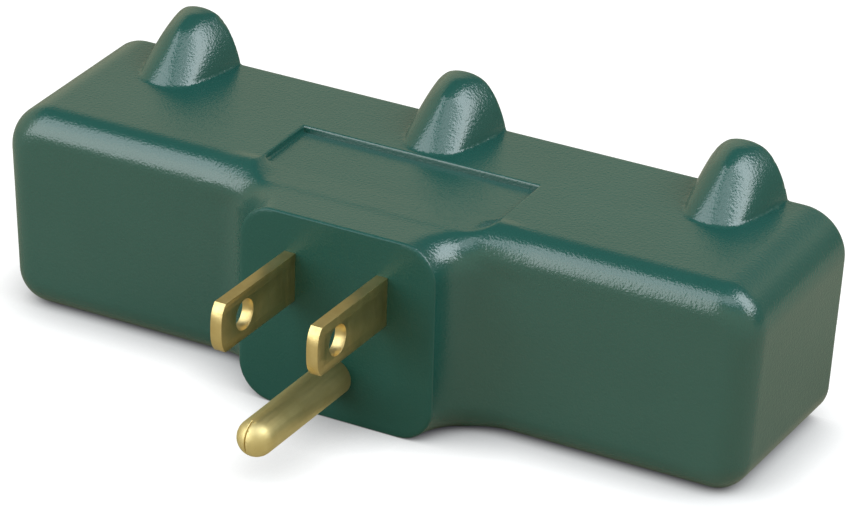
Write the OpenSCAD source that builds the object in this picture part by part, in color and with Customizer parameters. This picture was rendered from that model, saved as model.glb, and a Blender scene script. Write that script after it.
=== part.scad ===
// Three-outlet plug adapter: a moulded bar with a three-pin plug on one long face
// and three grounded outlets on the other. A soft moulded jacket wraps a rigid core
// that holds three bus strips, nine contacts and the plug's blades.
// X runs along the bar, the outlets face +Y, the plug faces -Y, and the bar rests on Z = 0.
// Depths called "behind the face" are measured from the outlet face towards the plug.

/* [Body] */
// Distance from one outlet's centre to the next
outlet_pitch = 38.4; // [34:0.1:44]
// Distance from an end outlet's centre to the end of the body
end_margin = 14.1; // [13.5:0.1:20]
// How far each end leans in between the top and the underside
end_lean = 1.4; // [0:0.1:2]
// How far the top falls between the outlet side and the plug side
top_drop = 0.9; // [0:0.1:1.6]
// Radius of the long edges on the plug side
edge_round = 3.6; // [2:0.1:4.6]
// Radius of the two upper corners of the outline
top_corner = 6; // [4.8:0.1:8]
// Radius of the two lower corners of the outline
base_corner = 4.4; // [4.2:0.1:6]

/* [Jacket walls] */
// Jacket over the outlet face of the core
face_wall = 2; // [1.5:0.1:3]
// Jacket behind the core, on the plug side
back_wall = 2.2; // [1.6:0.1:4]
// Jacket under the core
base_wall = 2.2; // [1.6:0.1:4]
// Jacket over the core, at the plug side
top_wall = 1.75; // [1.5:0.05:4]
// Jacket beyond each end of the core, at the underside
end_wall = 1.75; // [1.4:0.05:2.4]

/* [Ground bumps] */
// Width of a bump at the outlet face
bump_width = 11.2; // [9:0.1:15]
// Height of a bump above the body
bump_height = 6.7; // [4:0.1:9]
// Length of a bump back from the outlet face
bump_length = 11; // [8:0.1:14]
// Roundness of a bump's back slope, from 1 for straight to 2 for elliptical
bump_curve = 1.75; // [1.3:0.05:2.4]

/* [Plug boss] */
// Width of the flat face that carries the blades
boss_width = 26.8; // [25:0.1:32]
// Distance that the boss stands out from the body
boss_height = 6.2; // [5:0.1:9]
// Height of the boss face above the underside
boss_top = 25.6; // [24.6:0.1:26.4]
// Radius of the boss face's corners
boss_corner = 5; // [3:0.1:7]
// Radius of the hollow blend from the boss's sides into the body
boss_blend = 7; // [3:0.1:9]
// Jacket between the bridge and the boss face
boss_wall = 2; // [1.4:0.1:3]

/* [Label recess] */
// Length of the recess along the body
recess_length = 33; // [20:0.5:40]
// Depth of the recess into the top
recess_depth = 0.8; // [0.3:0.1:1.1]
// Distance from the outlet face to the recess
recess_start = 12.6; // [12:0.1:16]
// Distance from the outlet face to the end of the recess's flat floor
recess_end = 20.8; // [18:0.1:22]

/* [Plug blades] */
// Thickness of a blade
blade_thickness = 1.52; // [1.3:0.01:1.7]
// Width of a blade
blade_width = 6.35; // [5.5:0.05:6.8]
// Length of a blade beyond the boss face
blade_length = 17; // [14:0.1:18.3]
// Distance between the two blades' centre planes, on the plug and on each outlet
blade_spacing = 12.7; // [12.2:0.05:13.4]
// Diameter of the hole through each blade
blade_hole = 3.96; // [3:0.02:4.4]
// Distance from the boss face to that hole's centre
blade_hole_reach = 11.7; // [9:0.1:12.5]
// Corner cut at a blade's tip
blade_nip = 1.1; // [0.4:0.05:1.8]
// Thickness taken off each side of a blade at its tip
blade_bevel = 0.35; // [0.1:0.01:0.5]
// Clearance around the blades and the ground pin in the core and the jacket
blade_fit = 0.05; // [0.02:0.01:0.15]

/* [Ground pin] */
// Diameter of the ground pin
pin_diameter = 4.76; // [4.5:0.01:4.9]
// Length of the ground pin beyond the boss face
pin_length = 20.5; // [19:0.1:22.5]
// Diameter of the pin's root inside the body
pin_root_diameter = 4.2; // [3.4:0.05:4.4]
// Distance between the blades' centre line and the ground pin
ground_offset = 11.91; // [11.8:0.01:12.4]
// Height of the pin's lowest line above the underside
pin_floor = 3.56; // [3.2:0.02:4.2]

/* [Outlet openings] */
// Length of a hot slot
hot_slot_length = 6.9; // [6.7:0.1:7.4]
// Length of a neutral slot
neutral_slot_length = 8.4; // [7.4:0.1:8.8]
// Width of both slots
slot_width = 2.2; // [1.8:0.05:2.6]
// Diameter of a ground hole
ground_hole = 5.4; // [5:0.05:5.8]
// Depth that an outlet takes a blade or a ground pin before its contacts' back
blade_room = 18.4; // [18:0.1:19.5]

/* [Contacts] */
// Thickness of the contacts' sheet
contact_sheet = 0.6; // [0.4:0.02:0.8]
// Width of a blade contact's jaws
jaw_width = 5.6; // [4.6:0.1:5.9]
// Gap between the jaws where they grip
jaw_gap = 1.3; // [0.9:0.05:1.7]
// Gap between the jaws at their root
jaw_root = 4.2; // [3:0.1:4.4]
// Gap between the jaws at their mouth
jaw_mouth = 3.4; // [2.4:0.1:4]
// Inside diameter of a ground contact's sleeve
sleeve_bore = 4.7; // [4.4:0.05:4.9]
// Length of a ground contact's sleeve
sleeve_length = 10; // [7:0.1:11]
// Slit along the top of a ground contact's sleeve
sleeve_slit = 1.2; // [0.6:0.1:2]
// Play between a contact and its chamber in the carrier
chamber_play = 0.2; // [0.1:0.05:0.3]

/* [Bus strips] */
// Thickness of the bus strips
bus_sheet = 0.8; // [0.6:0.05:1]
// Width of the hot strip and of the neutral strip
bus_width = 2.8; // [2.4:0.1:3]
// Gap between a strip and the contacts that it must not touch
bus_gap = 0.6; // [0.4:0.05:1]
// Width of the ground strip
ground_strip_width = 10; // [7:0.1:10.4]
// Width of the leg that joins the ground strip to the ground pin
ground_leg_width = 4.8; // [4:0.1:5.4]
// Diameter of a rivet's shank
rivet_diameter = 1.6; // [1.2:0.05:1.8]
// Diameter of a rivet's head
rivet_head = 2.6; // [2:0.05:2.8]
// Thickness of a rivet's head
rivet_head_height = 0.45; // [0.3:0.05:0.5]

/* [Rigid core] */
// Front wall of the carrier
carrier_front = 2.4; // [1.6:0.1:3]
// Rim of the carrier around its contacts
carrier_rim = 1; // [0.8:0.05:1.4]
// Thickness of the insulator between the bus layers
insulator_thickness = 1.6; // [1.4:0.05:2.2]
// Thickness of the cover behind the legs
cover_thickness = 1.4; // [1:0.05:2.4]
// Corner cut of the core's outline
core_chamfer = 2.6; // [1.5:0.1:3.4]
// Width of the bridge that holds the blades in the boss
bridge_width = 21; // [19:0.1:22]
// Width added on each side by the bridge's locking flange
bridge_flange = 1.4; // [0.5:0.1:2]

/* [Hidden] */
// Overshoot of a cut past the face that it opens
eps = 0.1;
// Thickness of a section inside a hull
skin = 0.01;
// Steps round a quarter circle in the jacket's outline and long edges
arc_steps = 8;
// Share of the boss's sweep by which its corner radius grows
corner_sweep = 0.5;
// Sections along the boss and along a bump
boss_steps = 14;
bump_steps = 8;
round_fn = 48;

outlets = [-outlet_pitch, 0, outlet_pitch];
half_spacing = blade_spacing / 2;

// Depths behind the outlet face, layer by layer
carrier_back = blade_room;
tab_end = carrier_back + contact_sheet;
bus_end = tab_end + bus_sheet;
insulator_end = bus_end + insulator_thickness;
leg_end = insulator_end + bus_sheet;
cover_end = leg_end + cover_thickness;
body_depth = cover_end + back_wall;
boss_depth = body_depth + boss_height;
bridge_end = boss_depth - boss_wall;
foot_end = bus_end + bus_sheet;

// Heights above the underside, from the bottom of the core upwards
core_bottom = base_wall;
neutral_bus_z = core_bottom + carrier_rim + chamber_play;
slot_z = neutral_bus_z + bus_width + bus_gap + jaw_width / 2;
hot_bus_z = slot_z + jaw_width / 2 + bus_gap;
ground_z = slot_z + ground_offset;
sleeve_radius = sleeve_bore / 2 + contact_sheet;
chamber_radius = sleeve_radius + chamber_play;
core_top = ground_z + chamber_radius + carrier_rim / 2;
body_height = core_top + top_wall + top_drop;
pin_radius = pin_diameter / 2;
pin_z = pin_floor + pin_radius;
blade_rise = pin_z + ground_offset;

// Lengths along the body
body_half = outlet_pitch + end_margin;
core_half = body_half - end_lean - end_wall;

// Ground strip and the feet of the ground contacts that stand on it
foot_top = ground_z - pin_radius - rivet_head_height - chamber_play;
strip_top = foot_top - contact_sheet;
strip_bottom = strip_top - bus_sheet;
sleeve_start = face_wall + carrier_front + chamber_play;
sleeve_end = sleeve_start + sleeve_length;
ground_rivet_depth = (sleeve_end + carrier_back) / 2;
strip_start = carrier_back - ground_strip_width;

// Rivets of the plug's two blades, beside the blade on the strip
foot_reach = rivet_head + 2 * chamber_play;
hot_foot_x = -half_spacing + blade_thickness / 2 + foot_reach / 2;
neutral_foot_x = half_spacing + blade_thickness / 2 + foot_reach / 2;
pin_rivet_length = 2.4;

// Place of a depth on the Y axis
function y_at(depth) = body_depth / 2 - depth;
// Height of the sloping top at a depth
function top_at(depth) = body_height - top_drop * depth / body_depth;
// Points round an arc about a centre
function arc(centre, radius, from, to, steps) = [
    for (i = [0:steps])
        let (angle = from + (to - from) * i / steps)
            centre + radius * [cos(angle), sin(angle)]
];
// Upright outline with two upper and two lower corner radii
function upright(half, low, high, upper, lower, steps) = concat(
    arc([half - upper, high - upper], upper, 0, 90, steps),
    arc([upper - half, high - upper], upper, 90, 180, steps),
    arc([lower - half, low + lower], lower, 180, 270, steps),
    arc([half - lower, low + lower], lower, 270, 360, steps)
);
// Outline with its ends leaning in towards the underside
function leaning(points) = [
    for (p = points) [p[0] * (1 - end_lean / body_half * (1 - p[1] / body_height)), p[1]]
];

// A block between two values of X, of height and of depth
module block_at(x, z, depth) {
    translate([x[0], y_at(depth[1]), z[0]])
        cube([x[1] - x[0], depth[1] - depth[0], z[1] - z[0]]);
}

// A round bar along Y between two depths
module rod_at(x, z, diameter, depth) {
    translate([x, y_at(depth[0]), z])
        rotate([90, 0, 0])
            cylinder(d = diameter, h = depth[1] - depth[0], $fn = round_fn);
}

// An upright outline made solid between two depths
module slab_at(points, depth) {
    translate([0, y_at(depth[0]), 0])
        rotate([90, 0, 0])
            linear_extrude(depth[1] - depth[0])
                polygon(points);
}

// A blade's section, grown by a clearance, between two depths
module blade_section(side, grow, depth) {
    block_at(
        [side * half_spacing - blade_thickness / 2 - grow, side * half_spacing + blade_thickness / 2 + grow],
        [blade_rise - blade_width / 2 - grow, blade_rise + blade_width / 2 + grow],
        depth
    );
}

// Outline of the rigid core, with cut corners
core_outline = [
    [core_half - core_chamfer, core_bottom], [core_half, core_bottom + core_chamfer],
    [core_half, core_top - core_chamfer], [core_half - core_chamfer, core_top],
    [core_chamfer - core_half, core_top], [-core_half, core_top - core_chamfer],
    [-core_half, core_bottom + core_chamfer], [core_chamfer - core_half, core_bottom]
];

// Room that the bridge takes in the boss
module bridge_room() {
    bridge_low = core_bottom;
    bridge_high = blade_rise + blade_width / 2 + carrier_rim * 2.4;
    block_at([-bridge_width / 2, bridge_width / 2], [bridge_low, bridge_high], [cover_end, bridge_end]);
    block_at(
        [-bridge_width / 2 - bridge_flange, bridge_width / 2 + bridge_flange],
        [bridge_low, bridge_high],
        [cover_end, cover_end + back_wall]
    );
}

// Body of the jacket: one outline carried back and rounded over the plug-side edges
module body_block() {
    hull() {
        slab_at(leaning(upright(body_half, 0, body_height, top_corner, base_corner, arc_steps)), [0, skin]);
        for (i = [0:arc_steps]) {
            turn = 90 * i / arc_steps;
            inset = edge_round * (1 - cos(turn));
            depth = body_depth - edge_round * (1 - sin(turn));
            slab_at(
                leaning(upright(
                    body_half - inset, inset, top_at(depth) - inset,
                    max(top_corner - inset, skin), max(base_corner - inset, skin), arc_steps
                )),
                [depth - skin, depth]
            );
        }
    }
}

// How far the boss's sides have swept out at a depth: a hollow arc that ends flat on the body
function boss_sweep(depth) =
    let (rise = max(boss_blend - max(depth - body_depth, 0), 0))
        boss_blend - sqrt(boss_blend * boss_blend - rise * rise) + max(body_depth - depth, 0);

// Corner radius of the boss at a depth: the corners open out as the sides sweep
function boss_corner_at(depth) = boss_corner + corner_sweep * boss_sweep(depth);

// Top of the boss at a depth: it carries on from the recess's floor
function boss_top_at(depth) =
    let (start = top_at(recess_end) - recess_depth)
        start + (boss_top - start) * (depth - recess_end) / (boss_depth - recess_end);

// The boss as a loft of upright sections from inside the body to the blade face
module boss() {
    start = body_depth - edge_round * 0.9;
    depths = [for (i = [0:boss_steps]) start + (boss_depth - start) * i / boss_steps];
    rings = [
        for (d = depths)
            let (half = boss_width / 2 + boss_sweep(d), corner = boss_corner_at(d))
                [
                    for (p = upright(half, 0, boss_top_at(d), corner, corner, arc_steps))
                        [p[0], y_at(d), p[1]]
                ]
    ];
    count = len(rings[0]);
    last = len(rings) - 1;
    polyhedron(
        points = [for (ring = rings) each ring],
        faces = concat(
            [[for (k = [0:count - 1]) k]],
            [for (r = [0:last - 1]) for (k = [0:count - 1])
                let (n = (k + 1) % count)
                    [r * count + k, (r + 1) * count + k, (r + 1) * count + n]],
            [for (r = [0:last - 1]) for (k = [0:count - 1])
                let (n = (k + 1) % count)
                    [r * count + k, (r + 1) * count + n, r * count + n]],
            [[for (k = [count - 1:-1:0]) last * count + k]]
        )
    );
}

// One bump: an arch on the outlet face that sinks back into the top with a rounded nose
module bump() {
    half = bump_width / 2;
    sunk = top_wall / 2;
    hull()
        for (i = [0:bump_steps]) {
            depth = bump_length * sin(90 * i / bump_steps);
            past_nose = max(depth - (bump_length - half), 0);
            reach = max(sqrt(max(half * half - past_nose * past_nose, 0)), skin);
            height = bump_height * pow(1 - pow(depth / bump_length, bump_curve), 1 / bump_curve);
            base = top_at(depth);
            slab_at(
                concat(
                    [for (a = [0:15:180]) [reach * cos(a), base + max(height, skin) * sin(a)]],
                    [[-reach, base - sunk], [reach, base - sunk]]
                ),
                [max(depth - skin, 0), max(depth, skin)]
            );
        }
}

// Shallow recess in the top, left bare, whose floor runs out onto the boss
module label_recess() {
    past = body_depth;
    profile = [
        [recess_start, top_at(recess_start) - recess_depth],
        [recess_end, top_at(recess_end) - recess_depth],
        [past, boss_top_at(past)],
        [past, body_height + eps],
        [recess_start, body_height + eps]
    ];
    translate([-recess_length / 2, 0, 0])
        rotate([90, 0, 90])
            linear_extrude(recess_length)
                polygon([for (p = profile) [y_at(p[0]), p[1]]]);
}

// Soft outer jacket, moulded over the core in one shot
module jacket() {
    color([0.13, 0.30, 0.25])
        difference() {
            union() {
                body_block();
                boss();
                for (x = outlets)
                    translate([x, 0, 0])
                        bump();
            }
            label_recess();
            slab_at(core_outline, [face_wall, cover_end]);
            bridge_room();
            for (x = outlets) {
                slot_opening(x + half_spacing, hot_slot_length);
                slot_opening(x - half_spacing, neutral_slot_length);
                rod_at(x, ground_z, ground_hole, [-eps, face_wall + eps]);
            }
            for (side = [-1, 1])
                blade_section(side, blade_fit, [bridge_end - eps, boss_depth + eps]);
            rod_at(0, pin_z, pin_root_diameter + 2 * blade_fit, [bridge_end - eps, boss_depth + eps]);
        }
}

// Blade slot through the jacket
module slot_opening(x, length) {
    block_at(
        [x - slot_width / 2, x + slot_width / 2],
        [slot_z - length / 2, slot_z + length / 2],
        [-eps, face_wall + eps]
    );
}

// Rigid carrier: a chamber behind every opening, and a tray at the back for the strips
module contact_carrier() {
    tray_half = core_half - carrier_rim;
    color([0.16, 0.16, 0.17])
        difference() {
            slab_at(core_outline, [face_wall, bus_end]);
            block_at(
                [-tray_half, tray_half],
                [core_bottom + carrier_rim, core_top - carrier_rim / 2],
                [carrier_back, bus_end + eps]
            );
            for (x = outlets) {
                blade_chamber(x + half_spacing, hot_slot_length);
                blade_chamber(x - half_spacing, neutral_slot_length);
                ground_chamber(x);
                head_pocket(x + half_spacing, hot_bus_z + bus_width / 2);
                head_pocket(x - half_spacing, neutral_bus_z + bus_width / 2);
            }
            block_at(
                [outlets[0] - ground_leg_width / 2 - chamber_play,
                 outlets[2] + ground_leg_width / 2 + chamber_play],
                [strip_bottom, strip_top + chamber_play],
                [strip_start - chamber_play, carrier_back + eps]
            );
        }
}

// Slot through the carrier's front wall and the chamber for the jaws behind it
module blade_chamber(x, length) {
    half = jaw_root / 2 + contact_sheet + chamber_play;
    tall = max(jaw_width, length) / 2 + chamber_play;
    block_at(
        [x - slot_width / 2, x + slot_width / 2],
        [slot_z - length / 2, slot_z + length / 2],
        [face_wall - eps, face_wall + carrier_front]
    );
    block_at(
        [x - half, x + half],
        [slot_z - tall, slot_z + tall],
        [face_wall + carrier_front, carrier_back + eps]
    );
}

// Hole through the carrier's front wall and the chamber for the sleeve behind it
module ground_chamber(x) {
    foot_half = sleeve_bore / 2 - contact_sheet / 2 + chamber_play;
    rod_at(x, ground_z, ground_hole, [face_wall - eps, face_wall + carrier_front]);
    rod_at(x, ground_z, 2 * chamber_radius, [face_wall + carrier_front, carrier_back + eps]);
    block_at([x - foot_half, x + foot_half], [strip_top, ground_z], [sleeve_start, carrier_back + eps]);
    translate([x, y_at(ground_rivet_depth), strip_bottom - rivet_head_height - chamber_play])
        cylinder(
            d = rivet_head + 2 * chamber_play,
            h = rivet_head_height + 2 * chamber_play,
            $fn = round_fn
        );
}

// Pocket in the back of the carrier for a rivet's front head
module head_pocket(x, z) {
    rod_at(
        x, z, rivet_head + 2 * chamber_play,
        [carrier_back - rivet_head_height - chamber_play, carrier_back + eps]
    );
}

// Plate between the strips and the legs behind them, with windows where a leg passes
module bus_insulator() {
    color([0.16, 0.16, 0.17])
        difference() {
            slab_at(core_outline, [bus_end, insulator_end]);
            for (x = outlets) {
                rod_at(x, ground_z, ground_hole, [bus_end - eps, insulator_end + eps]);
                back_pocket(x + half_spacing, hot_bus_z + bus_width / 2);
                back_pocket(x - half_spacing, neutral_bus_z + bus_width / 2);
            }
            window([-ground_leg_width / 2, ground_leg_width / 2], [strip_bottom, strip_top]);
            window(
                [-half_spacing - blade_thickness / 2, -half_spacing + blade_thickness / 2 + foot_reach],
                [hot_bus_z, blade_rise + blade_width / 2]
            );
            window(
                [half_spacing - blade_thickness / 2, half_spacing + blade_thickness / 2 + foot_reach],
                [neutral_bus_z, neutral_bus_z + bus_width + bus_sheet]
            );
            rod_at(
                0, pin_z, rivet_head + 2 * chamber_play,
                [insulator_end - rivet_head_height - chamber_play, insulator_end + eps]
            );
        }
}

// Pocket in the front of the insulator for a rivet's back head
module back_pocket(x, z) {
    rod_at(
        x, z, rivet_head + 2 * chamber_play,
        [bus_end - eps, bus_end + rivet_head_height + chamber_play]
    );
}

// Window through the insulator, with play round the leg that passes
module window(x, z) {
    block_at(
        [x[0] - chamber_play, x[1] + chamber_play],
        [z[0] - chamber_play, z[1] + chamber_play],
        [bus_end - eps, insulator_end + eps]
    );
}

// Cover that closes the back of the core and keeps the two legs apart
module carrier_cover() {
    color([0.16, 0.16, 0.17])
        difference() {
            slab_at(core_outline, [insulator_end, cover_end]);
            block_at(
                [-ground_leg_width / 2 - chamber_play, ground_leg_width / 2 + chamber_play],
                [pin_z - pin_radius - chamber_play, strip_top + chamber_play],
                [insulator_end - eps, leg_end]
            );
            block_at(
                [half_spacing - blade_thickness / 2 - blade_fit,
                 neutral_foot_x + foot_reach / 2 + chamber_play],
                [neutral_bus_z + bus_width - chamber_play, blade_rise + blade_width / 2 + blade_fit],
                [insulator_end - eps, leg_end]
            );
            blade_section(-1, blade_fit, [insulator_end - eps, cover_end + eps]);
            block_at(
                [-half_spacing - blade_thickness / 2 - blade_fit,
                 -half_spacing + blade_thickness / 2 + blade_fit],
                [hot_bus_z - blade_fit, blade_rise],
                [insulator_end - eps, leg_end]
            );
            blade_section(1, blade_fit, [leg_end - eps, cover_end + eps]);
            rod_at(0, pin_z, pin_root_diameter + 2 * blade_fit, [leg_end - eps, cover_end + eps]);
        }
}

// Bridge that holds the blades and the pin at their spacing inside the boss
module blade_bridge() {
    color([0.16, 0.16, 0.17])
        difference() {
            bridge_room();
            for (side = [-1, 1])
                blade_section(side, blade_fit, [cover_end - eps, bridge_end + eps]);
            rod_at(0, pin_z, pin_root_diameter + 2 * blade_fit, [cover_end - eps, bridge_end + eps]);
        }
}

// A straight strip along the body with rivet holes at the given places
module strip(z, holes, ends) {
    difference() {
        block_at(ends, [z, z + bus_width], [tab_end, bus_end]);
        for (x = holes)
            rod_at(x, z + bus_width / 2, rivet_diameter, [tab_end - eps, bus_end + eps]);
    }
}

// Strip that joins the hot contacts and the hot blade
module hot_bus() {
    color([0.78, 0.66, 0.33])
        strip(
            hot_bus_z,
            concat([for (x = outlets) x + half_spacing], [hot_foot_x]),
            [outlets[0] + half_spacing - bus_width,
             outlets[2] + half_spacing + rivet_head / 2 + chamber_play]
        );
}

// Strip that joins the neutral contacts and the neutral blade
module neutral_bus() {
    color([0.78, 0.66, 0.33])
        strip(
            neutral_bus_z,
            concat([for (x = outlets) x - half_spacing], [neutral_foot_x]),
            [outlets[0] - half_spacing - rivet_head / 2 - chamber_play,
             outlets[2] - half_spacing + bus_width]
        );
}

// Flat strip under the ground contacts, with a bent leg down to the ground pin
module ground_bus() {
    half = ground_leg_width / 2;
    color([0.78, 0.66, 0.33])
        difference() {
            union() {
                block_at(
                    [outlets[0] - half, outlets[2] + half],
                    [strip_bottom, strip_top],
                    [strip_start, carrier_back]
                );
                block_at([-half, half], [strip_bottom, strip_top], [carrier_back, leg_end]);
                block_at([-half, half], [pin_z - pin_radius, strip_top], [insulator_end, leg_end]);
            }
            for (x = outlets)
                translate([x, y_at(ground_rivet_depth), strip_bottom - eps])
                    cylinder(d = rivet_diameter, h = bus_sheet + 2 * eps, $fn = round_fn);
            rod_at(0, pin_z, rivet_diameter, [insulator_end - eps, leg_end + eps]);
        }
}

// Half of a blade contact's folded outline: root, grip and flared mouth
module jaw() {
    grip = 0.2;
    mouth_depth = face_wall + carrier_front + chamber_play;
    grip_depth = mouth_depth + grip * (carrier_back - mouth_depth);
    root_depth = mouth_depth + 0.7 * (carrier_back - mouth_depth);
    inner = [
        [jaw_mouth / 2, mouth_depth], [jaw_gap / 2, grip_depth],
        [jaw_root / 2, root_depth], [jaw_root / 2, tab_end]
    ];
    outer = [for (i = [len(inner) - 1:-1:0]) inner[i] + [contact_sheet, 0]];
    linear_extrude(jaw_width)
        polygon([for (p = concat(inner, outer)) [p[0], y_at(p[1])]]);
}

// A folded contact: two spring jaws on a back plate, with a tab to its strip
module blade_contact(x, strip_z) {
    half = jaw_root / 2 + contact_sheet;
    low = min(slot_z - jaw_width / 2, strip_z);
    high = max(slot_z + jaw_width / 2, strip_z + bus_width);
    color([0.82, 0.70, 0.38])
        difference() {
            union() {
                for (side = [0, 1])
                    translate([x, 0, slot_z - jaw_width / 2])
                        mirror([side, 0, 0])
                            jaw();
                block_at(
                    [x - half, x + half],
                    [slot_z - jaw_width / 2, slot_z + jaw_width / 2],
                    [carrier_back, tab_end]
                );
                block_at([x - jaw_root / 2, x + jaw_root / 2], [low, high], [carrier_back, tab_end]);
            }
            rod_at(x, strip_z + bus_width / 2, rivet_diameter, [carrier_back - eps, tab_end + eps]);
        }
}

// A rolled sleeve that grips a ground pin, with a foot riveted to the ground strip
module ground_contact(x) {
    half = sleeve_bore / 2 - contact_sheet / 2;
    color([0.82, 0.70, 0.38])
        difference() {
            union() {
                rod_at(x, ground_z, 2 * sleeve_radius, [sleeve_start, sleeve_end]);
                block_at(
                    [x - half, x + half],
                    [strip_top, ground_z - sleeve_bore / 2],
                    [sleeve_end - contact_sheet, sleeve_end]
                );
                block_at(
                    [x - half, x + half],
                    [strip_top, foot_top],
                    [sleeve_end - contact_sheet, carrier_back]
                );
            }
            rod_at(x, ground_z, sleeve_bore, [sleeve_start - eps, sleeve_end + eps]);
            block_at(
                [x - sleeve_slit / 2, x + sleeve_slit / 2],
                [ground_z, ground_z + sleeve_radius + eps],
                [sleeve_start - eps, sleeve_end + eps]
            );
            translate([x, y_at(ground_rivet_depth), strip_top - eps])
                cylinder(d = rivet_diameter, h = contact_sheet + 2 * eps, $fn = round_fn);
        }
}

// The part of a blade outside the body, bevelled on all sides of its tip
module blade_shank(side) {
    tip = boss_depth + blade_length;
    half = blade_thickness / 2;
    low = blade_rise - blade_width / 2;
    high = blade_rise + blade_width / 2;
    profile = [
        [cover_end, low], [tip - blade_nip, low], [tip, low + blade_nip],
        [tip, high - blade_nip], [tip - blade_nip, high], [cover_end, high]
    ];
    plan = [
        [-half, cover_end], [half, cover_end], [half, tip - blade_nip], [half - blade_bevel, tip],
        [blade_bevel - half, tip], [-half, tip - blade_nip]
    ];
    difference() {
        intersection() {
            translate([side * half_spacing - half - eps, 0, 0])
                rotate([90, 0, 90])
                    linear_extrude(blade_thickness + 2 * eps)
                        polygon([for (p = profile) [y_at(p[0]), p[1]]]);
            translate([side * half_spacing, 0, low - eps])
                linear_extrude(blade_width + 2 * eps)
                    polygon([for (p = plan) [p[0], y_at(p[1])]]);
        }
        translate([side * half_spacing - half - eps, y_at(boss_depth + blade_hole_reach), blade_rise])
            rotate([0, 90, 0])
                cylinder(d = blade_hole, h = blade_thickness + 2 * eps, $fn = round_fn);
    }
}

// Hot blade: its root goes straight in and turns flat against the hot strip
module hot_blade() {
    near = -half_spacing - blade_thickness / 2;
    far = -half_spacing + blade_thickness / 2;
    color([0.80, 0.68, 0.34])
        difference() {
            union() {
                blade_shank(-1);
                block_at([near, far], [hot_bus_z, blade_rise + blade_width / 2], [bus_end, leg_end]);
                blade_section(-1, 0, [leg_end, cover_end]);
                block_at([near, far + foot_reach], [hot_bus_z, hot_bus_z + bus_width], [bus_end, foot_end]);
            }
            rod_at(hot_foot_x, hot_bus_z + bus_width / 2, rivet_diameter, [bus_end - eps, foot_end + eps]);
        }
}

// Neutral blade: its root turns flat, drops behind the insulator and steps to the strip
module neutral_blade() {
    near = half_spacing - blade_thickness / 2;
    far = half_spacing + blade_thickness / 2 + foot_reach;
    strip_high = neutral_bus_z + bus_width;
    color([0.80, 0.68, 0.34])
        difference() {
            union() {
                blade_shank(1);
                blade_section(1, 0, [leg_end, cover_end]);
                block_at([near, far], [strip_high, blade_rise + blade_width / 2], [insulator_end, leg_end]);
                block_at([near, far], [strip_high, strip_high + bus_sheet], [bus_end, leg_end]);
                block_at([near, far], [neutral_bus_z, strip_high + bus_sheet], [bus_end, foot_end]);
            }
            rod_at(
                neutral_foot_x, neutral_bus_z + bus_width / 2, rivet_diameter,
                [bus_end - eps, foot_end + eps]
            );
        }
}

// Ground pin: one turned outline with a bullet nose, a thinner root and a rivet hole
module ground_pin() {
    nose_start = pin_length - pin_radius;
    root = boss_depth - leg_end;
    nose = [for (i = [0:8]) [pin_radius * cos(90 * i / 8), nose_start + pin_radius * sin(90 * i / 8)]];
    color([0.80, 0.68, 0.34])
        translate([0, y_at(boss_depth), pin_z])
            rotate([90, 0, 0])
                rotate_extrude($fn = round_fn)
                    polygon(concat(
                        [[0, pin_rivet_length - root], [rivet_diameter / 2, pin_rivet_length - root],
                         [rivet_diameter / 2, -root], [pin_root_diameter / 2, -root],
                         [pin_root_diameter / 2, 0], [pin_radius, 0]],
                        nose
                    ));
}

// A rivet along Y: a shank between two depths with a head outside each end
module rivet_at(x, z, depth) {
    rod_at(x, z, rivet_diameter, depth);
    rod_at(x, z, rivet_head, [depth[0] - rivet_head_height, depth[0]]);
    rod_at(x, z, rivet_head, [depth[1], depth[1] + rivet_head_height]);
}

// Rivets that hold the contacts on their strips
module contact_rivets() {
    color([0.72, 0.72, 0.70])
        for (x = outlets) {
            rivet_at(x + half_spacing, hot_bus_z + bus_width / 2, [carrier_back, bus_end]);
            rivet_at(x - half_spacing, neutral_bus_z + bus_width / 2, [carrier_back, bus_end]);
            translate([x, y_at(ground_rivet_depth), 0]) {
                translate([0, 0, strip_bottom - rivet_head_height])
                    cylinder(d = rivet_head, h = rivet_head_height, $fn = round_fn);
                translate([0, 0, strip_bottom])
                    cylinder(d = rivet_diameter, h = foot_top - strip_bottom, $fn = round_fn);
                translate([0, 0, foot_top])
                    cylinder(d = rivet_head, h = rivet_head_height, $fn = round_fn);
            }
        }
}

// Rivets that hold the blades and the ground pin on their strips
module blade_rivets() {
    color([0.72, 0.72, 0.70]) {
        rivet_at(hot_foot_x, hot_bus_z + bus_width / 2, [tab_end, foot_end]);
        rivet_at(neutral_foot_x, neutral_bus_z + bus_width / 2, [tab_end, foot_end]);
        rod_at(0, pin_z, rivet_head, [insulator_end - rivet_head_height, insulator_end]);
        rod_at(0, pin_z, rivet_diameter, [insulator_end, leg_end + pin_rivet_length]);
    }
}

jacket();
contact_carrier();
bus_insulator();
carrier_cover();
blade_bridge();
hot_bus();
neutral_bus();
ground_bus();
blade_contact(outlets[0] + half_spacing, hot_bus_z);  // hot_contact_1
blade_contact(outlets[1] + half_spacing, hot_bus_z);  // hot_contact_2
blade_contact(outlets[2] + half_spacing, hot_bus_z);  // hot_contact_3
blade_contact(outlets[0] - half_spacing, neutral_bus_z);  // neutral_contact_1
blade_contact(outlets[1] - half_spacing, neutral_bus_z);  // neutral_contact_2
blade_contact(outlets[2] - half_spacing, neutral_bus_z);  // neutral_contact_3
ground_contact(outlets[0]);  // ground_contact_1
ground_contact(outlets[1]);  // ground_contact_2
ground_contact(outlets[2]);  // ground_contact_3
hot_blade();
neutral_blade();
ground_pin();
contact_rivets();
blade_rivets();
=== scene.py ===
import math

import bmesh
import bpy
import numpy as np
from mathutils import Matrix, Vector


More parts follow.
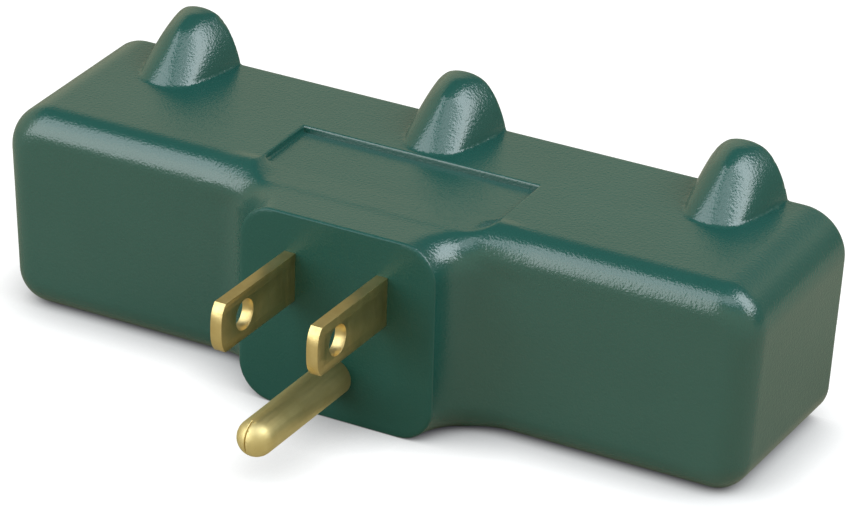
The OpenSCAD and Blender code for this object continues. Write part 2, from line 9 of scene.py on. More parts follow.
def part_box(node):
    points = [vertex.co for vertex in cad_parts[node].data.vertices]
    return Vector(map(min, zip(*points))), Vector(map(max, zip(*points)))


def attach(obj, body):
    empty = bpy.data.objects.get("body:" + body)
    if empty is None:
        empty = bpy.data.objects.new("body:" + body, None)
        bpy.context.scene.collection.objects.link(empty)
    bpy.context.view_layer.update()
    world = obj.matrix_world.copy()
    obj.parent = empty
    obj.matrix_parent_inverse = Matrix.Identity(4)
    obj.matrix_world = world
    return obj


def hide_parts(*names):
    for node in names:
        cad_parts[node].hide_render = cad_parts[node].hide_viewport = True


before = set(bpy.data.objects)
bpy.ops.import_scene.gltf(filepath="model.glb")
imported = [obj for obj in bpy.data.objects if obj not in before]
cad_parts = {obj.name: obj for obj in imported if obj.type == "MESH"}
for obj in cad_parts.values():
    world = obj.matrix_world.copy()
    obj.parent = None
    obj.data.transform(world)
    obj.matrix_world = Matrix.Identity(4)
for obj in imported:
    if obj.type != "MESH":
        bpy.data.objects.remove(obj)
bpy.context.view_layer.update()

# Jacket: the soft outer shell, dark green vinyl moulded over the core in one shot, so the
# bar, the plug's boss, the three bumps and the bare recess are one skin with rounded joins.
# It is drawn in millimetres as one smooth skin, then cut open for the core and the slots.

MM = 0.001
outlet_pitch = 38.4
body_half = 52.49
body_height = 27.81
body_depth = 25.8
end_lean = 1.4
top_drop = 0.9
top_corner = 6.0
base_corner = 4.4
edge_round = 3.7
bump_half = 6.25
bump_taper = 0.165
bump_height = 6.6
bump_length = 11.0
bump_crown = 2.16
bump_plan = 2.9
bump_sink = 1.6
bump_lean = 0.92
bump_side_lean = 0.4
bump_bend = 1.5
bump_foot = 0.2
bump_root = 2.0
nose_swell = 0.25
boss_half = 13.4
boss_depth = 32.0
boss_top = 26.1
boss_corner = 4.7
boss_blend = 7.0
recess_half = 16.5
recess_depth = 0.8
recess_start = 11.6
recess_end = 20.8
face_round = 0.35
recess_round = 0.22
recess_ease = 6.0
recess_ease_from = recess_end - 0.3
recess_ease_to = recess_end + 3.0
shoulder_melt = 2.0
shoulder_z = (21.0, 24.5)
shoulder_depth = (20.0, 23.0)
shoulder_x = (17.0, 25.0)
least_melt = 0.02
floor_clearance = 0.01


def depth_of(y):
    """How far a place lies behind the outlets' face."""
    return body_depth / 2 - y


def y_of(depth):
    """Where a depth behind the outlets' face lies along Y."""
    return body_depth / 2 - depth


def top_at(depth):
    """Height of the bar's top, which falls a little towards the plug side."""
    return body_height - top_drop * depth / body_depth


def rounded_meet(a, b, radius):
    """Distance outside the part that two shapes share, with a radius where they meet."""
    u = a + radius
    v = b + radius
    return np.minimum(np.maximum(u, v), 0) + np.hypot(np.maximum(u, 0), np.maximum(v, 0)) - radius


def hollow_join(a, b, radius):
    """Distance outside two joined shapes, with a hollow radius in the corner between them."""
    hollow = np.hypot(np.maximum(radius - a, 0), np.maximum(radius - b, 0))
    return np.maximum(radius, np.minimum(a, b)) - hollow


def soft_join(a, b, reach):
    """Distance outside two joined shapes, melted together over a reach."""
    share = np.maximum(reach - np.abs(a - b), 0) / np.maximum(reach, 1e-6)
    return np.minimum(a, b) - share * share * reach / 4


def ramp(value, low, high):
    """Eases from 0 at low to 1 at high."""
    t = np.clip((value - low) / (high - low), 0, 1)
    return t * t * (3 - 2 * t)


def body_gap(x, depth, z):
    """The bar: an outline with four round corners, rounded again on the plug side."""
    top = top_at(depth)
    along = np.abs(x) / (1 - end_lean / body_half * (1 - z / body_height))
    corner = np.where(z > top / 2, top_corner, base_corner)
    across_x = along - (body_half - corner)
    across_z = np.abs(z - top / 2) - (top / 2 - corner)
    outline = np.hypot(np.maximum(across_x, 0), np.maximum(across_z, 0)) - corner
    outline = outline + np.minimum(np.maximum(across_x, across_z), 0)
    return rounded_meet(outline, depth - body_depth, edge_round)


def boss_plane(depth):
    """Height of the boss's top, which carries on from the recess's floor."""
    start = top_at(recess_end) - recess_depth
    return start + (boss_top - start) * (depth - recess_end) / (boss_depth - recess_end)


def boss_gap(x, depth, z):
    """The boss: upright sides that sweep out in a hollow curve and run flat into the bar."""
    sides = hollow_join(np.abs(x) - boss_half, depth - body_depth, boss_blend)
    rise = np.clip(boss_blend - (depth - body_depth), 0, boss_blend)
    swept = 1 - np.sqrt(1 - (rise / boss_blend) ** 2)
    corner = boss_corner + (edge_round - boss_corner) * swept
    up_down = np.maximum(z - boss_plane(depth), -z)
    return np.maximum(rounded_meet(sides, up_down, corner), np.abs(x) - 2 * boss_half)


def bump_side(depth):
    """Half the width of a bump at its foot."""
    return np.maximum(bump_half - bump_taper * depth, 1)


def even_gap(form, x, depth, z):
    """Distance outside a form that is below zero inside, from its value and its slope."""
    nudge = 0.02
    here = form(x, depth, z)
    slope_x = form(x + nudge, depth, z) - here
    slope_y = form(x, depth + nudge, z) - here
    slope_z = form(x, depth, z + nudge) - here
    steep = np.sqrt(slope_x**2 + slope_y**2 + slope_z**2) / nudge
    return here / np.maximum(steep, 0.05)


def bump_ridge(x, depth, z):
    """A half-round ridge that runs back from the outlets and narrows a little."""
    across = np.abs(x) / bump_side(depth)
    above = np.maximum(z - top_at(depth) + bump_sink, 0) / (bump_height + bump_sink)
    return across**bump_crown + above**bump_crown - 1


def bump_nose(x, depth, z):
    """The blunt nose that leans back from the foot of the ridge."""
    height = z - top_at(depth)
    across = np.maximum(np.abs(x) + bump_side_lean * height, 0) / (bump_side(depth) + nose_swell)
    ahead = np.maximum(depth + bump_lean * height, 0) / bump_length
    return across**bump_plan + ahead**bump_plan - 1


def bump_gap(x, depth, z):
    """Distance outside the nearest of the three bumps."""
    x = x - outlet_pitch * np.clip(np.round(x / outlet_pitch), -1, 1)
    ridge = even_gap(bump_ridge, x, depth, z)
    nose = even_gap(bump_nose, x, depth, z)
    return np.maximum(rounded_meet(ridge, nose, bump_bend), top_at(depth) - bump_root - z)


def recess_gap(x, depth, z):
    """The recess as a cutter: upright walls that ease into a shallow dish towards the boss."""
    floor = np.where(depth < recess_end, top_at(depth) - recess_depth, boss_plane(depth))
    opened = np.sqrt(ramp(depth, recess_ease_from, recess_ease_to))
    ease = recess_round + (recess_ease - recess_round) * opened
    reach = np.sqrt(np.maximum(2 * ease * recess_depth - recess_depth**2, 0))
    spread_out = np.where(ease > recess_depth, ease - reach, 0)
    sides = rounded_meet(floor - z, np.abs(x) - recess_half - spread_out, ease)
    return np.maximum(sides, recess_start - depth)


def jacket_gap(x, y, z):
    """Distance outside the whole jacket, in millimetres, inside below zero."""
    depth = depth_of(y)
    gap = body_gap(x, depth, z)
    melt = shoulder_melt * ramp(z, *shoulder_z) * ramp(depth, *shoulder_depth)
    melt = melt * (1 - ramp(np.abs(x), *shoulder_x))
    gap = soft_join(gap, boss_gap(x, depth, z), melt + least_melt)
    gap = soft_join(gap, bump_gap(x, depth, z), bump_foot)
    gap = rounded_meet(gap, -recess_gap(x, depth, z), recess_round)
    gap = rounded_meet(gap, -depth, face_round)
    return np.maximum(rounded_meet(gap, depth - boss_depth, face_round), floor_clearance - z)


def stations(low, high, step, fine_spots, fine_step, fine_reach):
    """Grid lines from low to high, closer together around each fine spot."""
    lines = [low]
    while lines[-1] < high:
        near = any(abs(lines[-1] - spot) < fine_reach for spot in fine_spots)
        lines.append(lines[-1] + (fine_step if near else step))
    return np.array(lines)


def skin_mesh(gap, lines):
    """Points and four-sided faces of the skin where gap() is zero, one point per crossed cell."""
    grid = np.meshgrid(*lines, indexing="ij")
    inside = gap(*grid) < 0
    full = np.zeros([n - 1 for n in inside.shape], np.int8)
    for corner in np.ndindex(2, 2, 2):
        full += inside[tuple(slice(c, c - 1 if c == 0 else None) for c in corner)]
    crossed = (full > 0) & (full < 8)
    number = np.full(crossed.shape, -1)
    number[crossed] = np.arange(crossed.sum())
    middle = [(line[1:] + line[:-1]) / 2 for line in lines]
    points = np.stack([m[i] for m, i in zip(middle, np.nonzero(crossed))], axis=1)
    faces = []
    for axis in range(3):
        near = np.moveaxis(inside, axis, 0)
        cells = np.moveaxis(number, axis, 0)
        i, j, k = np.nonzero(near[1:, 1:-1, 1:-1] != near[:-1, 1:-1, 1:-1])
        ring = [cells[i, j, k], cells[i, j + 1, k], cells[i, j + 1, k + 1], cells[i, j, k + 1]]
        out = near[i, j + 1, k + 1] ^ (axis == 1)
        ring = np.stack(ring, axis=1)
        faces.append(np.where(out[:, None], ring, ring[:, ::-1]))
    return points, np.concatenate(faces)


def settle(gap, points, rounds):
    """Moves the points onto the skin along its slope."""
    nudge = 0.01
    steps = nudge * np.eye(3)
    for _ in range(rounds):
        slope = np.stack([gap(*(points + s).T) - gap(*(points - s).T) for s in steps], axis=1)
        slope /= 2 * nudge
        steep = np.maximum((slope**2).sum(1), 0.2)
        points = points - np.clip(gap(*points.T) / steep, -0.5, 0.5)[:, None] * slope
    return points


def evened(points, faces, share):
    """Draws each point part of the way to the middle of its neighbours."""
    pull = np.zeros_like(points)
    count = np.zeros(len(points))
    for a, b in ((0, 1), (1, 2), (2, 3), (3, 0)):
        for near, far in ((faces[:, a], faces[:, b]), (faces[:, b], faces[:, a])):
            np.add.at(pull, near, points[far])
            np.add.at(count, near, 1)
    return points + share * (pull / np.maximum(count, 1)[:, None] - points)


def piece_from(name, points, faces):
    """A new piece in the scene from points in millimetres."""
    mesh = bpy.data.meshes.new(name)
    mesh.from_pydata((np.asarray(points) * MM).tolist(), [], [list(map(int, f)) for f in faces])
    mesh.update()
    piece = bpy.data.objects.new(name, mesh)
    bpy.context.scene.collection.objects.link(piece)
    return piece


# The grid that the skin is drawn on reaches a little past the jacket and is finer at edges.
skin_step = 0.5
skin_x = (-54, 54)
skin_y = (-19.7, 13.5)
skin_z = (-0.8, 35.4)
sharp_y = [y_of(0), y_of(recess_start), y_of(boss_depth)]
jacket_lines = [
    stations(*skin_x, skin_step, [-recess_half, recess_half], 0.16, 0.7),
    stations(*skin_y, skin_step, sharp_y, 0.13, 0.6),
    stations(*skin_z, skin_step, [top_at(recess_start)], 0.2, 1.0),
]
jacket_points, jacket_faces = skin_mesh(jacket_gap, jacket_lines)
jacket_points = settle(jacket_gap, jacket_points, 5)
for _ in range(2):
    jacket_points = settle(jacket_gap, evened(jacket_points, jacket_faces, 0.4), 3)
jacket = piece_from("jacket_skin", jacket_points, jacket_faces)

# The cutters open the skin for the core, the slots and the ground holes.
core_low, core_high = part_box("contact_carrier")
core_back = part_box("carrier_cover")[0].y
core_chamfer = 2.6 * MM
hot_slot = 6.9
neutral_slot = 8.4
slot_width = 2.2
slot_z = 9.6
half_spacing = 6.35
ground_hole = 5.4
ground_z = 21.51
overshoot = 0.1 * MM
edge_angle = math.radians(35)


def block(cutter, low, high):
    """Adds a block between two corners to the cutter, in metres."""
    size = [h - l for l, h in zip(low, high)]
    middle = [(l + h) / 2 for l, h in zip(low, high)]
    bmesh.ops.create_cube(
        cutter, size=1, matrix=Matrix.Translation(middle) @ Matrix.Diagonal((*size, 1))
    )


def rod(cutter, x, z, diameter, y_low, y_high):
    """Adds a round bar along Y to the cutter, in metres."""
    turn = Matrix.Rotation(math.pi / 2, 4, "X")
    bmesh.ops.create_cone(
        cutter, cap_ends=True, segments=64, radius1=diameter / 2, radius2=diameter / 2,
        depth=y_high - y_low, matrix=Matrix.Translation((x, (y_low + y_high) / 2, z)) @ turn,
    )


def cut(piece, cutter):
    """Takes the cutter's shape out of the piece for good."""
    mesh = bpy.data.meshes.new("cutter")
    bmesh.ops.recalc_face_normals(cutter, faces=cutter.faces)
    cutter.to_mesh(mesh)
    cutter.free()
    tool = bpy.data.objects.new("cutter", mesh)
    bpy.context.scene.collection.objects.link(tool)
    carve = piece.modifiers.new("carve", "BOOLEAN")
    carve.operation = "DIFFERENCE"
    carve.solver = "EXACT"
    carve.object = tool
    result = bpy.data.meshes.new_from_object(
        piece.evaluated_get(bpy.context.evaluated_depsgraph_get())
    )
    piece.modifiers.clear()
    piece.data = result
    bpy.data.objects.remove(tool)


outlet_y = y_of(0) * MM
core_front = core_high.y
room = bmesh.new()
core_outline = [
    (core_high.x - core_chamfer, core_low.z), (core_high.x, core_low.z + core_chamfer),
    (core_high.x, core_high.z - core_chamfer), (core_high.x - core_chamfer, core_high.z),
    (core_low.x + core_chamfer, core_high.z), (core_low.x, core_high.z - core_chamfer),
    (core_low.x, core_low.z + core_chamfer), (core_low.x + core_chamfer, core_low.z),
]
front_ring = [room.verts.new((x, core_front, z)) for x, z in core_outline]
back_ring = [room.verts.new((x, core_back, z)) for x, z in core_outline]
room.faces.new(front_ring)
room.faces.new(back_ring[::-1])
for i in range(8):
    room.faces.new((front_ring[i], back_ring[i], back_ring[(i + 1) % 8], front_ring[(i + 1) % 8]))
cut(jacket, room)

openings = bmesh.new()
for centre in (-outlet_pitch, 0, outlet_pitch):
    for x, length in ((centre + half_spacing, hot_slot), (centre - half_spacing, neutral_slot)):
        block(
            openings,
            ((x - slot_width / 2) * MM, core_front - overshoot, (slot_z - length / 2) * MM),
            ((x + slot_width / 2) * MM, outlet_y + overshoot, (slot_z + length / 2) * MM),
        )
    rod(
        openings, centre * MM, ground_z * MM, ground_hole * MM,
        core_front - overshoot, outlet_y + overshoot,
    )
cut(jacket, openings)

jacket.data.shade_smooth()
jacket.data.set_sharp_from_angle(angle=edge_angle)


def noise(tree, point, scale, detail=2.0, roughness=0.5):
    """A noise texture over the piece; scale is in features a metre."""
    texture = tree.nodes.new("ShaderNodeTexNoise")
    texture.inputs["Scale"].default_value = scale
    texture.inputs["Detail"].default_value = detail
    texture.inputs["Roughness"].default_value = roughness
    tree.links.new(point, texture.inputs["Vector"])
    return texture.outputs["Fac"]


def spread(tree, value, low, high):
    """Maps a value from 0..1 onto a range."""
    fit = tree.nodes.new("ShaderNodeMapRange")
    fit.inputs["To Min"].default_value = low
    fit.inputs["To Max"].default_value = high
    tree.links.new(value, fit.inputs["Value"])
    return fit.outputs["Result"]


def share_between(tree, value, low, high, curve="LINEAR"):
    """How far a value has come from low to high, as 0..1."""
    fit = tree.nodes.new("ShaderNodeMapRange")
    fit.interpolation_type = curve
    fit.inputs["From Min"].default_value = low
    fit.inputs["From Max"].default_value = high
    tree.links.new(value, fit.inputs["Value"])
    return fit.outputs["Result"]


def blended(tree, value, low, high):
    """A colour between two, by a value."""
    mix = tree.nodes.new("ShaderNodeMix")
    mix.data_type = "RGBA"
    mix.inputs["A"].default_value = (*low, 1)
    mix.inputs["B"].default_value = (*high, 1)
    tree.links.new(value, mix.inputs["Factor"])
    return mix.outputs["Result"]


def relief(tree, height, depth, under=None):
    """A bump whose full height is depth metres."""
    bump = tree.nodes.new("ShaderNodeBump")
    bump.inputs["Distance"].default_value = depth
    bump.inputs["Strength"].default_value = 1.0
    tree.links.new(height, bump.inputs["Height"])
    if under:
        tree.links.new(under, bump.inputs["Normal"])
    return bump.outputs["Normal"]


def finish_of(name):
    """A new material, its node tree, its shader and the point on the piece."""
    material = bpy.data.materials.new(name)
    material.use_nodes = True
    tree = material.node_tree
    shader = tree.nodes["Principled BSDF"]
    point = tree.nodes.new("ShaderNodeTexCoord").outputs["Object"]
    return material, tree, shader, point


# Green vinyl, a little cloudy, with a moulded grain; the plug's face is duller than the rest.
vinyl_dark = (0.009, 0.066, 0.054)
vinyl_light = (0.014, 0.078, 0.064)
face_from = y_of(boss_depth - 0.4) * MM
face_full = y_of(boss_depth - 0.1) * MM
vinyl, tree, shader, point = finish_of("green_vinyl")
cloud = noise(tree, point, 90, 3)
tree.links.new(blended(tree, cloud, vinyl_dark, vinyl_light), shader.inputs["Base Color"])
gloss = spread(tree, noise(tree, point, 500, 3), 0.20, 0.25)
place_on_part = tree.nodes.new("ShaderNodeSeparateXYZ")
tree.links.new(point, place_on_part.inputs["Vector"])
plug_face = share_between(tree, place_on_part.outputs["Y"], face_from, face_full)
duller = tree.nodes.new("ShaderNodeMath")
tree.links.new(gloss, duller.inputs[0])
tree.links.new(spread(tree, plug_face, 0.0, 0.15), duller.inputs[1])
tree.links.new(duller.outputs["Value"], shader.inputs["Roughness"])
shader.inputs["IOR"].default_value = 1.5
tree.links.new(spread(tree, plug_face, 0.8, 0.3), shader.inputs["Specular IOR Level"])
ripple = relief(tree, noise(tree, point, 160, 2), 0.00003)
grain = relief(tree, noise(tree, point, 3300, 1, 0.5), 0.00004, ripple)
tree.links.new(grain, shader.inputs["Normal"])
jacket.data.materials.clear()
jacket.data.materials.append(vinyl)
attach(jacket, "root")
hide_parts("jacket")

# Blades and ground pin: rolled brass, two blanked blades with a punched hole and a pin with a
# bullet nose. Their roots are pressed into the bridge and riveted to the strips inside, so
# only the shanks show.

blade_width = 6.35
blade_thickness = 1.52
blade_rise = 17.85
shank_from = 2.0
neutral_short = 0.6 * MM
blade_ease = 0.12 * MM
blade_crown = 1.0 * MM
crown_power = 3.2
hole_reach = 11.7
hole_size = 3.96


def straight_shank(node, start, tip):
    """The CAD blade with its shank drawn out again, square, from start to tip."""
    metal = bmesh.new()
    metal.from_mesh(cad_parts[node].data)
    bmesh.ops.remove_doubles(metal, verts=metal.verts, dist=1e-6)
    cut_line = bmesh.ops.bisect_plane(
        metal, geom=metal.verts[:] + metal.edges[:] + metal.faces[:], dist=1e-7,
        plane_co=(0, start, 0), plane_no=(0, 1, 0), clear_inner=True,
    )["geom_cut"]
    rim = [edge for edge in cut_line if isinstance(edge, bmesh.types.BMEdge)]
    end = bmesh.ops.contextual_create(metal, geom=rim)["faces"]
    drawn = bmesh.ops.extrude_face_region(metal, geom=end)["geom"]
    bmesh.ops.delete(metal, geom=end, context="FACES_ONLY")
    for vertex in drawn:
        if isinstance(vertex, bmesh.types.BMVert):
            vertex.co.y = tip
    bmesh.ops.dissolve_limit(metal, angle_limit=math.radians(1), verts=metal.verts, edges=metal.edges)
    bmesh.ops.recalc_face_normals(metal, faces=metal.faces)
    return metal


def tip_cutter(x, z, tip, half_width, half_thick):
    """What the blanking tool takes off the end: all beyond a full, slightly crowned tip."""
    waste = bmesh.new()
    rise = [i / 12 for i in range(-14, 15)]
    profile = [(tip + blade_crown * abs(t) ** crown_power, z + t * half_width) for t in rise]
    profile += [(tip - 2 * MM, z + rise[-1] * half_width), (tip - 2 * MM, z + rise[0] * half_width)]
    near = [waste.verts.new((x - 2 * half_thick, y, h)) for y, h in profile]
    far = [waste.verts.new((x + 2 * half_thick, y, h)) for y, h in profile]
    waste.faces.new(near)
    waste.faces.new(far[::-1])
    for i in range(len(profile)):
        j = (i + 1) % len(profile)
        waste.faces.new((near[i], far[i], far[j], near[j]))
    return waste


def ease(piece, width):
    """Eases the sharp edges, as tumbling leaves them."""
    soften = piece.modifiers.new("ease", "BEVEL")
    soften.width = width
    soften.segments = 3
    soften.limit_method = "ANGLE"
    soften.angle_limit = edge_angle
    soften.harden_normals = True


def brass_finish(name, dark, light, rough_low, rough_high, grain_run=(1, 0.06, 1)):
    """Rolled brass: drawn lines one way over the piece, a mottled tarnish and small dents."""
    material, tree, shader, point = finish_of(name)
    stretch = tree.nodes.new("ShaderNodeMapping")
    stretch.inputs["Scale"].default_value = grain_run
    tree.links.new(point, stretch.inputs["Vector"])
    drawn = noise(tree, stretch.outputs["Vector"], 2600, 3)
    tarnish = noise(tree, point, 420, 4, 0.6)
    tree.links.new(blended(tree, tarnish, dark, light), shader.inputs["Base Color"])
    tree.links.new(spread(tree, drawn, rough_low, rough_high), shader.inputs["Roughness"])
    shader.inputs["Metallic"].default_value = 1.0
    lines = relief(tree, drawn, 0.000012)
    dents = relief(tree, noise(tree, point, 700, 2), 0.00002, lines)
    tree.links.new(dents, shader.inputs["Normal"])
    return material


blade_dark = (0.54, 0.39, 0.15)
blade_light = (0.74, 0.60, 0.30)
blade_brass = brass_finish("blade_brass", blade_dark, blade_light, 0.28, 0.50, (1, 1, 0.05))
shank_z = blade_rise * MM
for name, node, side, short in (
    ("left_blade", "hot_blade", -1, 0),
    ("right_blade", "neutral_blade", 1, neutral_short),
):
    shank_x = side * half_spacing * MM
    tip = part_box(node)[0].y + short
    mesh = bpy.data.meshes.new(name)
    metal = straight_shank(node, y_of(boss_depth - shank_from) * MM, tip)
    metal.to_mesh(mesh)
    metal.free()
    blade = bpy.data.objects.new(name, mesh)
    bpy.context.scene.collection.objects.link(blade)
    cut(blade, tip_cutter(shank_x, shank_z, tip, blade_width / 2 * MM, blade_thickness * MM))
    punch = bmesh.new()
    bmesh.ops.create_cone(
        punch, cap_ends=True, segments=64, radius1=hole_size / 2 * MM, radius2=hole_size / 2 * MM,
        depth=3 * blade_thickness * MM,
        matrix=Matrix.Translation((shank_x, y_of(boss_depth + hole_reach) * MM, shank_z))
        @ Matrix.Rotation(math.pi / 2, 4, "Y"),
    )
    cut(blade, punch)
    ease(blade, blade_ease)
    blade.data.materials.clear()
    blade.data.materials.append(blade_brass)
    for face in blade.data.polygons:
        face.material_index = 0
        face.use_smooth = True
    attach(blade, "root")
    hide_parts(node)

# The pin is turned bar with a fine seam round its nose.
pin_dark = (0.64, 0.51, 0.22)
pin_light = (0.80, 0.67, 0.35)
pin_brass = brass_finish("pin_brass", pin_dark, pin_light, 0.46, 0.62)
pin_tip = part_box("ground_pin")[0].y
pin_z = 5.94 * MM
nose_round = 2.38 * MM
seam_x = -0.25 * MM
seam_width = 0.2 * MM
seam_depth = 0.3 * MM
seam_clear = 1 * MM
seam_turns = [math.radians(a) for a in range(-60, 79, 6)]
pin_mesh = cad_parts["ground_pin"].data.copy()
pin_mesh.name = "pin"
pin = bpy.data.objects.new("pin", pin_mesh)
bpy.context.scene.collection.objects.link(pin)
seam = bmesh.new()
rim = [
    (pin_tip + nose_round - reach * math.cos(a), pin_z + reach * math.sin(a))
    for reach, run in (
        (nose_round - seam_depth, seam_turns), (nose_round + seam_clear, seam_turns[::-1]),
    )
    for a in run
]
near = [seam.verts.new((seam_x - seam_width / 2, y, z)) for y, z in rim]
far = [seam.verts.new((seam_x + seam_width / 2, y, z)) for y, z in rim]
for i in range(len(seam_turns) - 1):
    a, b, c, d = i, i + 1, len(rim) - 2 - i, len(rim) - 1 - i
    seam.faces.new((near[a], near[b], near[c], near[d]))
    seam.faces.new((far[d], far[c], far[b], far[a]))
for i in range(len(rim)):
    j = (i + 1) % len(rim)
    seam.faces.new((near[i], far[i], far[j], near[j]))
# Two plain cuts behind the nose keep the shank's long faces out of the seam's cut.
for back in (nose_round, nose_round + 0.6 * MM):
    metal = bmesh.new()
    metal.from_mesh(pin.data)
    bmesh.ops.bisect_plane(
        metal, geom=metal.verts[:] + metal.edges[:] + metal.faces[:], dist=1e-7,
        plane_co=(0, pin_tip + back, 0), plane_no=(0, 1, 0),
    )
    metal.to_mesh(pin.data)
    metal.free()
cut(pin, seam)
pin.data.shade_smooth()
pin.data.set_sharp_from_angle(angle=edge_angle)
pin.data.materials.clear()
pin.data.materials.append(pin_brass)
for face in pin.data.polygons:
    face.material_index = 0
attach(pin, "root")
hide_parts("ground_pin")

# Core mouldings: rigid dark compound, the carrier with its chambers, the insulator, the cover
# and the bridge. They are plain moulded pieces, pressed together before the jacket goes on.


def dress(nodes, material):
    """Gives pieces of the core, which keep their own meshes, their finish."""
    for name in nodes:
        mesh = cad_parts[name].data
        mesh.materials.clear()
        mesh.materials.append(material)
        for face in mesh.polygons:
            face.material_index = 0


compound_dark = (0.018, 0.018, 0.020)
compound_light = (0.030, 0.030, 0.033)
compound, tree, shader, point = finish_of("core_compound")
cloud = noise(tree, point, 300, 3)
tree.links.new(blended(tree, cloud, compound_dark, compound_light), shader.inputs["Base Color"])
tree.links.new(spread(tree, noise(tree, point, 900, 2), 0.42, 0.6), shader.inputs["Roughness"])
tree.links.new(relief(tree, noise(tree, point, 1800, 2), 0.00002), shader.inputs["Normal"])
dress(["contact_carrier", "bus_insulator", "carrier_cover", "blade_bridge"], compound)

# Strips and contacts: brass sheet, three straight strips and nine folded contacts riveted to
# them. The strips are plain rolled sheet, the contacts thinner and brighter spring sheet.

strip_brass = brass_finish("strip_brass", (0.48, 0.36, 0.14), (0.62, 0.49, 0.22), 0.28, 0.45)
spring_brass = brass_finish("spring_brass", (0.62, 0.48, 0.20), (0.76, 0.62, 0.32), 0.16, 0.30)
lines = ("hot", "neutral", "ground")
dress([f"{line}_bus" for line in lines], strip_brass)
dress([f"{line}_contact_{i}" for line in lines for i in (1, 2, 3)], spring_brass)

# Rivets: plated steel with round heads. Nine hold the contacts to the strips and three hold
# the roots of the blades and the pin.

steel_dark = (0.45, 0.45, 0.44)
steel_light = (0.62, 0.62, 0.60)
plated, tree, shader, point = finish_of("plated_steel")
cloud = noise(tree, point, 1500, 3)
tree.links.new(blended(tree, cloud, steel_dark, steel_light), shader.inputs["Base Color"])
tree.links.new(spread(tree, noise(tree, point, 2500, 2), 0.25, 0.42), shader.inputs["Roughness"])
shader.inputs["Metallic"].default_value = 1.0
tree.links.new(relief(tree, noise(tree, point, 3000, 2), 0.00001), shader.inputs["Normal"])
dress(["contact_rivets", "blade_rivets"], plated)

# Studio: a white floor with a painted shadow close to the part, a dim warm room with a dark
# corner, and three soft lamps. The large ones on the left and on the right leave the double
# highlight on each bump, and a weak one high up joins them.

white = (1, 1, 1)
floor_reach = 500
# The next colour is the dark of the shadow painted on the floor close to the part.
painted_shadow_colour = (0.02, 0.02, 0.03)
floor_seen = (0.22, 0.22, 0.22)
floor_bounce = (0.47, 0.42, 0.31)
painted_shadow_reach = 9 * MM
floor = piece_from(
    "studio_floor",
    [
        (floor_reach * math.cos(math.radians(a)), floor_reach * math.sin(math.radians(a)), 0)
        for a in range(0, 360, 5)
    ],
    [range(72)],
)
paper = bpy.data.materials.new("studio_paper")
paper.use_nodes = True
tree = paper.node_tree
shader = tree.nodes["Principled BSDF"]
shader.inputs["Roughness"].default_value = 1.0
shader.inputs["Specular IOR Level"].default_value = 0.0
# For camera rays the floor glows evenly white, with a painted shadow: an ambient-occlusion node darkens
# its glow close to the part.
seen = tree.nodes.new("ShaderNodeLightPath").outputs["Is Camera Ray"]
nearby = tree.nodes.new("ShaderNodeAmbientOcclusion")
nearby.inputs["Distance"].default_value = painted_shadow_reach
outside_painted_shadow = share_between(tree, nearby.outputs["AO"], 0.08, 0.92)
painted_floor_shadow = blended(tree, outside_painted_shadow, painted_shadow_colour, white)
tree.links.new(blended(tree, seen, floor_bounce, floor_seen), shader.inputs["Base Color"])
tree.links.new(painted_floor_shadow, shader.inputs["Emission Color"])
tree.links.new(spread(tree, seen, 0.0, 0.95), shader.inputs["Emission Strength"])
floor.data.materials.append(paper)

# The room glows warm low down, is dark overhead and darkest in one corner beyond the plug.
room_glow = (0.64, 0.60, 0.41)
room_roof = (0.10, 0.12, 0.12)
room_corner = (0.03, 0.05, 0.05)
roof_from = math.sin(math.radians(30))
roof_full = math.sin(math.radians(46))
corner_turn = math.radians(58)
corner_from = math.cos(math.radians(42))
corner_full = math.cos(math.radians(20))


def laid_over(tree, value, under, colour):
    """A flat colour laid over another one by a value."""
    mix = tree.nodes.new("ShaderNodeMix")
    mix.data_type = "RGBA"
    mix.inputs["B"].default_value = (*colour, 1)
    tree.links.new(value, mix.inputs["Factor"])
    tree.links.new(under, mix.inputs["A"])
    return mix.outputs["Result"]


room = bpy.data.worlds.new("room")
bpy.context.scene.world = room
room.use_nodes = True
tree = room.node_tree
outlook = tree.nodes.new("ShaderNodeTexCoord").outputs["Generated"]
direction = tree.nodes.new("ShaderNodeSeparateXYZ")
tree.links.new(outlook, direction.inputs["Vector"])
overhead = share_between(tree, direction.outputs["Z"], roof_from, roof_full, "SMOOTHSTEP")
walls = blended(tree, overhead, room_glow, room_roof)
towards = tree.nodes.new("ShaderNodeVectorMath")
towards.operation = "DOT_PRODUCT"
towards.inputs[1].default_value = (math.sin(corner_turn), math.cos(corner_turn), 0.1)
tree.links.new(outlook, towards.inputs[0])
in_corner = share_between(tree, towards.outputs["Value"], corner_from, corner_full, "SMOOTHSTEP")
walls = laid_over(tree, spread(tree, in_corner, 0.0, 0.7), walls, room_corner)
seen = tree.nodes.new("ShaderNodeLightPath").outputs["Is Camera Ray"]
tree.links.new(laid_over(tree, seen, walls, white), tree.nodes["Background"].inputs["Color"])


lamp_colour = (0.86, 0.94, 1.0)


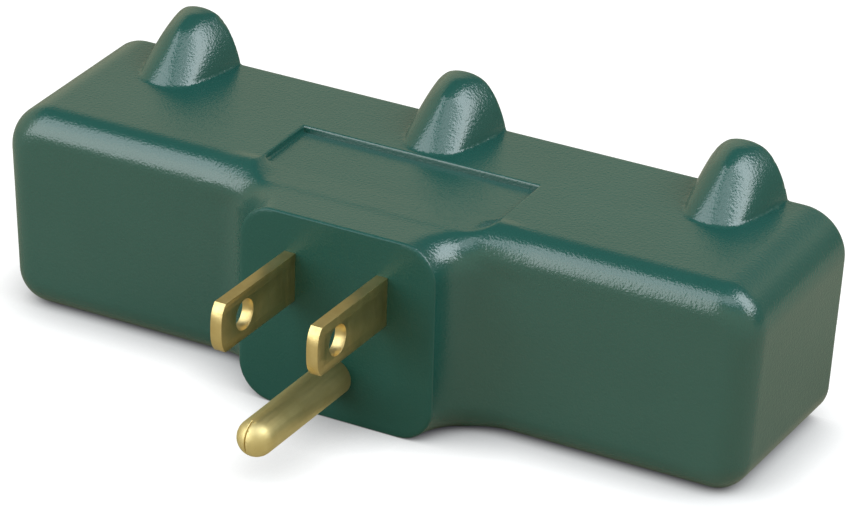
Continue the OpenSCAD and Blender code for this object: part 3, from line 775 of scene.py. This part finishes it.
def soft_lamp(name, place, target, size, power):
    """A rectangular lamp, its place and target in millimetres, its size in metres."""
    data = bpy.data.lights.new(name, "AREA")
    data.shape = "RECTANGLE"
    data.size, data.size_y = size
    data.energy = power
    data.color = lamp_colour
    lamp = bpy.data.objects.new(name, data)
    lamp.location = Vector(place) * MM
    lamp.rotation_euler = (Vector(target) - Vector(place)).to_track_quat("-Z", "Y").to_euler()
    bpy.context.scene.collection.objects.link(lamp)


soft_lamp("wall_left", (-280, -365, 300), (-5, 0, 15), (0.42, 0.64), 2.6)
soft_lamp("wall_right", (365, 40, 430), (0, 0, 15), (0.34, 0.42), 2.5)
soft_lamp("bridge", (140, -240, 480), (0, 0, 15), (0.30, 0.24), 0.5)

# The camera stands where the photograph was taken from, worked out from the blades, the pin
# and the bar's outline: a long lens, to the right of the plug and above it.
camera_turn = math.radians(28.305)
camera_rise = math.radians(26.015)
camera_roll = math.radians(1.565)
camera_distance = 538.6
camera_target = Vector((6.29, -7.31, 17.95))
camera_back = Vector((
    math.sin(camera_turn) * math.cos(camera_rise),
    -math.cos(camera_turn) * math.cos(camera_rise),
    math.sin(camera_rise),
))
level_right = Vector((math.cos(camera_turn), math.sin(camera_turn), 0))
level_up = camera_back.cross(level_right)
camera_right = level_right * math.cos(camera_roll) + level_up * math.sin(camera_roll)
camera_up = level_up * math.cos(camera_roll) - level_right * math.sin(camera_roll)
photo_width = 865
focal_pixels = 4443.5
shift_pixels = (3.544, 5.790)
lens = bpy.data.cameras.new("camera")
lens.sensor_width = 36
lens.lens = focal_pixels / photo_width * lens.sensor_width
lens.shift_x, lens.shift_y = (pixels / photo_width for pixels in shift_pixels)
lens.clip_start = 0.01
lens.clip_end = 20
camera = bpy.data.objects.new("camera", lens)
camera.matrix_world = Matrix.Translation((camera_target + camera_back * camera_distance) * MM) @ Matrix(
    (camera_right, camera_up, camera_back)
).transposed().to_4x4()
bpy.context.scene.collection.objects.link(camera)
bpy.context.scene.camera = camera
bpy.context.scene.view_settings.view_transform = "Standard"
